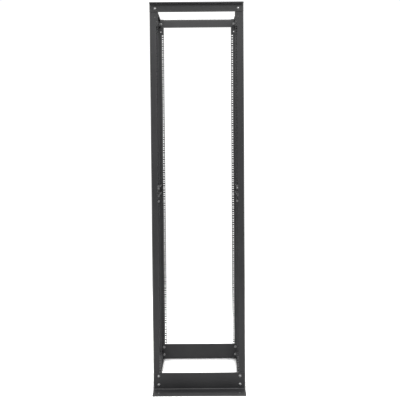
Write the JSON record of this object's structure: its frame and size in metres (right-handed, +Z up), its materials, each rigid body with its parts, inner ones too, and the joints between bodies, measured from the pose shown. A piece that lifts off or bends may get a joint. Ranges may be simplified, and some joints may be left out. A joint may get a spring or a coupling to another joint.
{
  "type": "four-post open frame rack",
  "caption": "Free-standing open steel rack: perforated posts with square rack holes, joined by top angles, wide-footed base angles and side braces; holds 19 inch equipment.",
  "frame": {"origin": "on the floor, at the middle of the frame's width and depth", "axes": "+X to the right, -Y towards the front, +Z up"},
  "size_m": [0.547, 1.1176, 2.291],
  "materials": {
    "powder_coat": "satin black powder coat",
    "zinc": "zinc plated"
  },
  "bodies": {
    "root": {"front_left_post": "powder_coat", "front_left_top_plate": "powder_coat", "front_left_base_plate": "powder_coat", "front_right_post": "powder_coat", "front_right_top_plate": "powder_coat", "front_right_base_plate": "powder_coat", "rear_left_post": "powder_coat", "rear_left_top_plate": "powder_coat", "rear_left_base_plate": "powder_coat", "rear_right_post": "powder_coat", "rear_right_top_plate": "powder_coat", "rear_right_base_plate": "powder_coat", "front_top_angle": "powder_coat", "front_base_angle": "powder_coat", "rear_top_angle": "powder_coat", "rear_base_angle": "powder_coat", "left_top_brace": "powder_coat", "left_mid_brace": "powder_coat", "left_base_brace": "powder_coat", "front_left_mid_tab": "powder_coat", "right_top_brace": "powder_coat", "right_mid_brace": "powder_coat", "right_base_brace": "powder_coat", "front_right_mid_tab": "powder_coat"}
  },
  "joints": []
}
